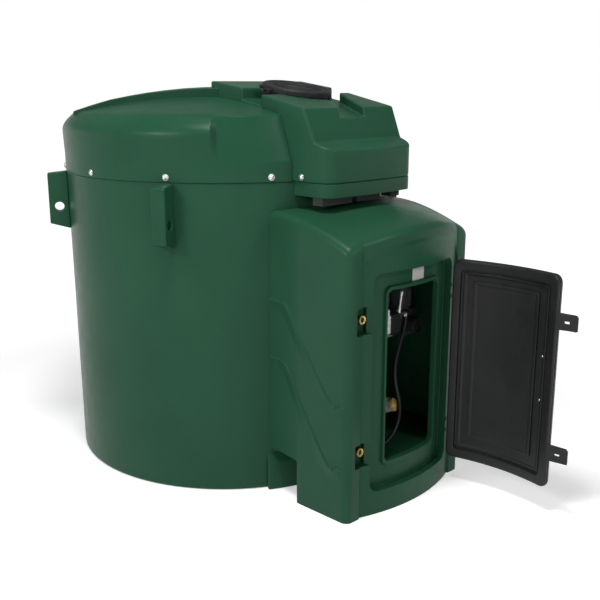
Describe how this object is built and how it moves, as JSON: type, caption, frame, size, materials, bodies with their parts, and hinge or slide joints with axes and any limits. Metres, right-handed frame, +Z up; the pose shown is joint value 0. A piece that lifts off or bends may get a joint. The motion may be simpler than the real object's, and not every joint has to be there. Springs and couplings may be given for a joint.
{
  "type": "bunded vertical storage tank with dispensing cabinet",
  "caption": "Round double-walled plastic storage tank with a low domed roof, clamped manhole, lifting lugs and a front dispensing cabinet with a hinged door.",
  "frame": {"origin": "on the ground at the tank's axis", "axes": "+Z up, the cabinet faces -Y, +X to the right of someone who faces +Y"},
  "size_m": [2.02, 3.2575, 2.2731],
  "materials": {
    "green_plastic": "dark green moulded plastic with a soft sheen",
    "black_plastic": "black textured plastic",
    "charcoal_plastic": "charcoal moulded plastic",
    "packer_grey": "grey-brown packing block",
    "brass": "turned brass",
    "steel": "plain steel",
    "plate_metal": "blank grey plate",
    "hose_rubber": "black rubber hose",
    "pump_grey": "grey painted casting"
  },
  "bodies": {
    "tank": {"base_band": "green_plastic", "blank_plate": "plate_metal", "bund_floor": "green_plastic", "bund_wall_1": "green_plastic", "bund_wall_2": "green_plastic", "bund_wall_3": "green_plastic", "bund_wall_4": "green_plastic", "bund_wall_5": "green_plastic", "bund_wall_6": "green_plastic", "cabinet_floor": "green_plastic", "cabinet_hood": "green_plastic", "cabinet_side_left": "green_plastic", "cabinet_side_right": "green_plastic", "coupling_cap": "brass", "delivery_hose": "hose_rubber", "fill_pipe": "steel", "flow_meter": "black_plastic", "frame_left": "green_plastic", "frame_right": "green_plastic", "front_header": "green_plastic", "front_post_left": "green_plastic", "front_post_right": "green_plastic", "front_sill": "green_plastic", "hinge_lower": "steel", "hinge_upper": "steel", "hose_hook": "black_plastic", "lock_lower": "brass", "lock_upper": "brass", "lug_front_left": "green_plastic", "lug_front_right": "green_plastic", "lug_rear_left": "green_plastic", "lug_rear_right": "green_plastic", "manhole_cover": "black_plastic", "manhole_ring": "green_plastic", "nose_band": "green_plastic", "nozzle": "steel", "opening_lip": "green_plastic", "packer_left": "packer_grey", "packer_middle": "packer_grey", "packer_right": "packer_grey", "pump_body": "pump_grey", "pump_bracket": "steel", "pump_motor": "pump_grey", "roof_left": "green_plastic", "roof_panel_left": "green_plastic", "roof_panel_right": "green_plastic", "roof_right": "green_plastic", "spine_cover": "green_plastic"},
    "door": {"door_panel": "charcoal_plastic", "door_liner": "charcoal_plastic", "latch_tab_upper": "charcoal_plastic", "latch_tab_lower": "charcoal_plastic"}
  },
  "joints": [
    {"name": "door_hinge", "type": "hinge", "parent": "tank", "child": "door", "pos_m": [0.3425, -1.4744, 0.73], "axis": [0, 0, 1], "range_deg": [-92, 43]}
  ]
}
